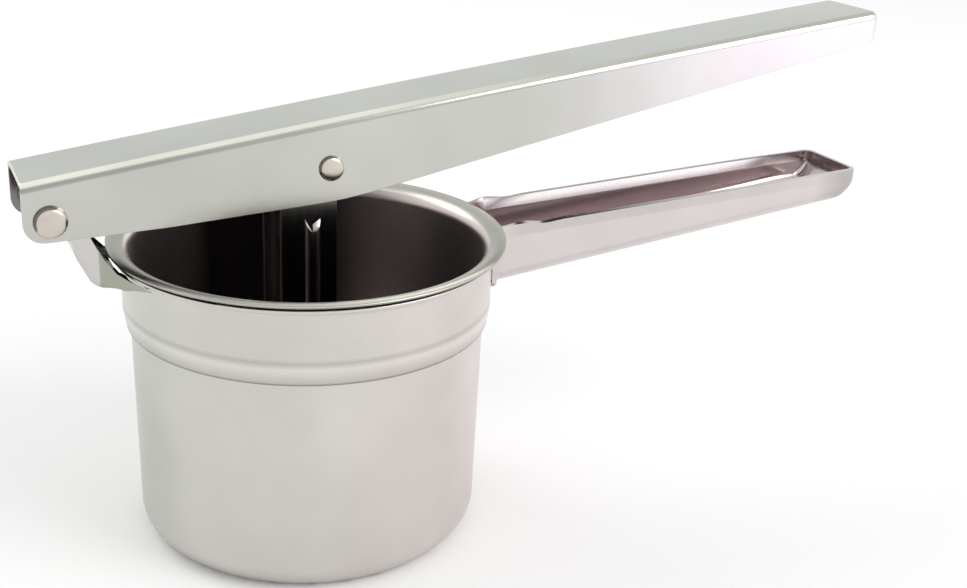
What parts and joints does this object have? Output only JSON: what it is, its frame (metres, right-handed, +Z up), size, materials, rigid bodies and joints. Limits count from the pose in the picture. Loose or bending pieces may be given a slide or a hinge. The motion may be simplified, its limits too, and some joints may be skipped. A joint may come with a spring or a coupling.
{
  "type": "passatelli maker",
  "caption": "Stainless lever press: a drop-in basket with a sieve floor in a ring with a handle, and a long lever that pushes a disc through it.",
  "frame": {"origin": "on the plane of the sieve's underside, below the middle of the press's length and of its width", "axes": "+X along the handles from the pivot to the tips, +Z up along the basket's axis"},
  "size_m": [0.2354, 0.1, 0.1294],
  "materials": {
    "satin_steel": "satin, finely turned",
    "bright_steel": "polished",
    "mirror_steel": "polished, near mirror",
    "rivet_steel": "polished"
  },
  "bodies": {
    "root": {"basket": "satin_steel", "holder_ring": "satin_steel", "pivot_bracket": "bright_steel", "handle": "bright_steel", "pivot_pin": "rivet_steel"},
    "lever": {"lever": "bright_steel", "plunger_pin": "rivet_steel"},
    "plunger": {"plunger_yoke": "mirror_steel", "plunger_disc": "mirror_steel"}
  },
  "joints": [
    {"name": "lever_hinge", "type": "hinge", "parent": "root", "child": "lever", "pos_m": [-0.11165, 0, 0.0905], "axis": [0, -1, 0], "range_deg": [-5, 55]},
    {"name": "plunger_swing", "type": "hinge", "parent": "lever", "child": "plunger", "pos_m": [-0.04565, 0, 0.09745], "axis": [0, -1, 0], "range_deg": [-36, 4]}
  ],
  "couplings": [
    {"joint": "plunger_swing", "follows": "lever_hinge", "ratio": -0.64}
  ]
}
